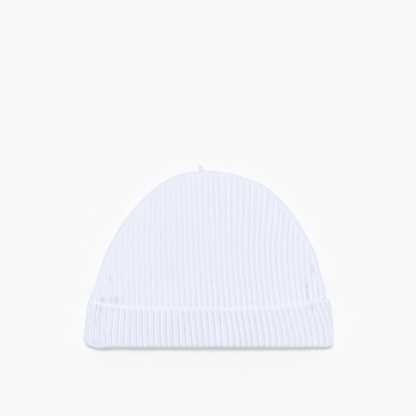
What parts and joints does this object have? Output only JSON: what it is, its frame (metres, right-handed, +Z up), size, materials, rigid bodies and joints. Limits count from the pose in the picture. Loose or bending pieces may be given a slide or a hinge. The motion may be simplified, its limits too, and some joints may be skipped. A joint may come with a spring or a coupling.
{
  "type": "nightcap",
  "caption": "Baby's ribbed cotton nightcap with a rounded crown and a turned-up cuff, lying flat on its back.",
  "frame": {"origin": "centre of the cap's box, on the surface that it lies on", "axes": "+X across the brim to the right as the picture shows it, +Y from the brim to the crown's top, +Z up from the surface"},
  "size_m": [0.1696, 0.1254, 0.0142],
  "materials": {
    "ribbed_cotton": "soft matt rib knit",
    "sewing_thread": "matt spun thread"
  },
  "bodies": {
    "root": {"front_panel": "ribbed_cotton", "back_panel": "ribbed_cotton", "crown_seam": "sewing_thread", "cuff": "ribbed_cotton", "seam_tail": "sewing_thread"}
  },
  "joints": []
}
